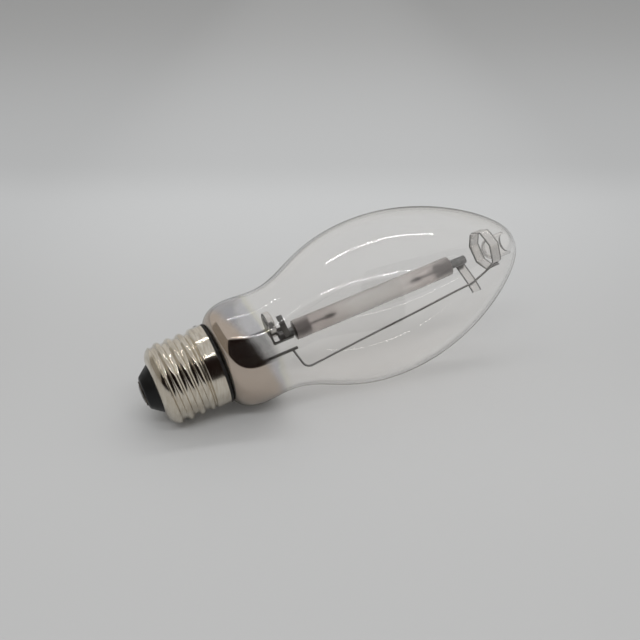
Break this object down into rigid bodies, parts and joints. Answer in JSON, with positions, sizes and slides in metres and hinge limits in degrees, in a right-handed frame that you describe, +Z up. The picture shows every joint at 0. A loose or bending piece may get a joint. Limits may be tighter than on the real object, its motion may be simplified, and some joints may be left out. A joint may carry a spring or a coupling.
{
  "type": "high pressure sodium lamp",
  "caption": "Clear elliptical glass lamp on a medium screw base, with a ceramic arc tube on a wire frame, getter ring and dimple clip inside.",
  "frame": {"origin": "on the ground, under the middle of the lamp's bounding box, as it lies on its side", "axes": "+X from the screw base towards the dome of the glass, +Z up; the lamp's own axis lies in the XZ plane and leans up by about 11.6 degrees towards the dome"},
  "size_m": [0.1333, 0.0542, 0.0558],
  "materials": {
    "nickel_shell": "nickel-plated drawn brass, bright",
    "black_glass": "black glass, glossy",
    "contact_metal": "pressed brass, dull",
    "solder": "tin and lead solder, dull silver",
    "clear_glass": "clear hard glass",
    "cement": "dark basing cement, matte",
    "lead_wire": "oxidised nickel wire",
    "nickel_wire": "bright nickel rod",
    "strip_metal": "thin bright strip",
    "alumina": "translucent white alumina",
    "plug_alumina": "greyed alumina",
    "niobium": "dull grey niobium",
    "frit": "sealing frit, grey",
    "tungsten": "dark tungsten",
    "getter_metal": "pressed steel ring",
    "getter_powder": "pressed getter powder, dark and matte"
  },
  "bodies": {
    "root": {"screw_shell": "nickel_shell", "base_insulator": "black_glass", "contact_eyelet": "contact_metal", "contact_solder": "solder", "outer_bulb": "clear_glass", "stem": "clear_glass", "base_cement": "cement", "centre_lead": "lead_wire", "side_lead": "lead_wire", "side_solder": "solder", "frame_lead": "nickel_wire", "tube_lead": "nickel_wire", "frame_wire": "nickel_wire", "dimple_clip": "strip_metal", "arc_tube": "alumina", "lower_end_plug": "plug_alumina", "upper_end_plug": "plug_alumina", "lower_niobium_tube": "niobium", "upper_niobium_tube": "niobium", "lower_frit_seal": "frit", "upper_frit_seal": "frit", "lower_electrode_rod": "tungsten", "upper_electrode_rod": "tungsten", "lower_electrode_coil": "tungsten", "upper_electrode_coil": "tungsten", "upper_strap": "strip_metal", "lower_bracket": "strip_metal", "getter_ring": "getter_metal", "getter_strap": "getter_metal", "getter_fill": "getter_powder"}
  },
  "joints": []
}
